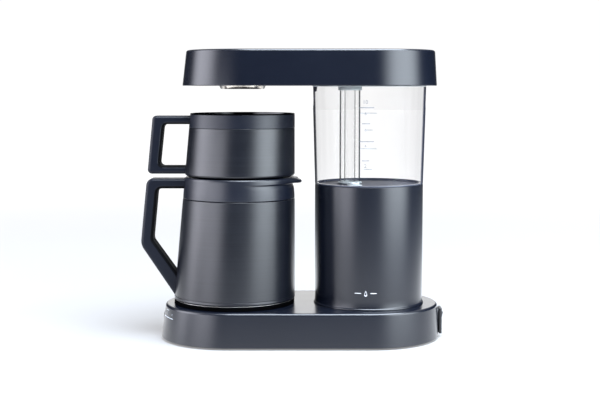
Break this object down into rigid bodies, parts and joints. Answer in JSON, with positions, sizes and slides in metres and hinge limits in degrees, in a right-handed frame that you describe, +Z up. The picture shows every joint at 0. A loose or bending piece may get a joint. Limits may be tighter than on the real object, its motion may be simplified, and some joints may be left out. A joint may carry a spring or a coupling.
{
  "type": "drip coffee brewer",
  "caption": "Countertop drip coffee brewer with a clear water tank in a tower, a cantilevered brew head, a lift-off brew basket and a slide-out insulated carafe.",
  "frame": {"origin": "centre of the overall box, carafe handle and rocker switch included, at the surface the feet stand on", "axes": "+X from the carafe to the water tank, along the length; +Y to the rear long side; +Z up"},
  "size_m": [0.3722, 0.1738, 0.353],
  "materials": {
    "moulded_shell": "satin black-blue",
    "painted_shell": "satin black-blue paint",
    "grey_trim": "fine matt",
    "black_trim": "matt",
    "gloss_black": "glossy",
    "coated_steel": "semi-matt",
    "clear_plastic": "clear, smooth",
    "silicone": "milky",
    "black_rubber": "matt",
    "stainless": "satin",
    "polished_steel": "polished",
    "cast_aluminium": "as cast",
    "white_nylon": "matt",
    "circuit_board": "solder mask",
    "wire_sleeve": "woven sleeve",
    "light_pipe": "clear to milky"
  },
  "bodies": {
    "brewer": {"base_housing": "moulded_shell", "base_plate": "coated_steel", "base_screw_1": "stainless", "base_screw_2": "stainless", "base_screw_3": "stainless", "base_screw_4": "stainless", "foot_1": "black_rubber", "foot_2": "black_rubber", "foot_3": "black_rubber", "foot_4": "black_rubber", "control_board": "circuit_board", "tact_switch": "black_trim", "status_light_1": "light_pipe", "status_light_2": "light_pipe", "status_light_3": "light_pipe", "power_switch_body": "black_trim", "rocker_pin": "stainless", "cord_grommet": "black_rubber", "main_board": "circuit_board", "terminal_block": "white_nylon", "heater_harness": "wire_sleeve", "heater": "cast_aluminium", "heater_element": "stainless", "heater_bracket": "coated_steel", "thermostat": "white_nylon", "check_valve": "white_nylon", "inlet_hose_upper": "silicone", "inlet_hose_lower": "silicone", "outlet_hose": "silicone", "hose_clamp_inlet": "stainless", "hose_clamp_outlet": "stainless", "tank_shroud": "painted_shell", "tank_floor": "gloss_black", "tank_wall": "clear_plastic", "tank_top_seal": "silicone", "tank_outlet": "white_nylon", "riser_sleeve": "clear_plastic", "riser_tube": "clear_plastic", "riser_seal": "silicone", "head_housing": "moulded_shell", "head_underside": "moulded_shell", "head_screw_1": "stainless", "head_screw_2": "stainless", "fill_duct": "black_trim", "shower_head": "polished_steel", "shower_manifold": "white_nylon", "head_hose": "silicone"},
    "start_button": {"start_button": "black_trim"},
    "power_rocker": {"power_rocker": "gloss_black"},
    "tank_lid": {"tank_lid": "moulded_shell"},
    "carafe": {"carafe_foot": "black_trim", "carafe_body": "painted_shell", "carafe_liner": "stainless", "carafe_collar": "grey_trim", "carafe_handle": "grey_trim"},
    "basket": {"basket_sleeve": "painted_shell", "basket_rim": "grey_trim", "basket_funnel": "black_trim", "basket_handle": "grey_trim"}
  },
  "joints": [
    {"name": "carafe_slide", "type": "slide", "parent": "brewer", "child": "carafe", "axis": [-1, 0, 0], "range_m": [0, 0.19]},
    {"name": "basket_lift", "type": "slide", "parent": "carafe", "child": "basket", "axis": [0, 0, 1], "range_m": [0, 0.026]},
    {"name": "tank_lid_lift", "type": "slide", "parent": "brewer", "child": "tank_lid", "axis": [0, 0, 1], "range_m": [0, 0.06]},
    {"name": "start_button_press", "type": "slide", "parent": "brewer", "child": "start_button", "axis": [1, 0, 0], "range_m": [0, 0.0015], "stiffness_N_per_m": 300, "springref_m": -0.002},
    {"name": "power_rocker_tilt", "type": "hinge", "parent": "brewer", "child": "power_rocker", "pos_m": [0.18015, 0, 0.0205], "axis": [0, 1, 0], "range_deg": [-16, 0]}
  ]
}
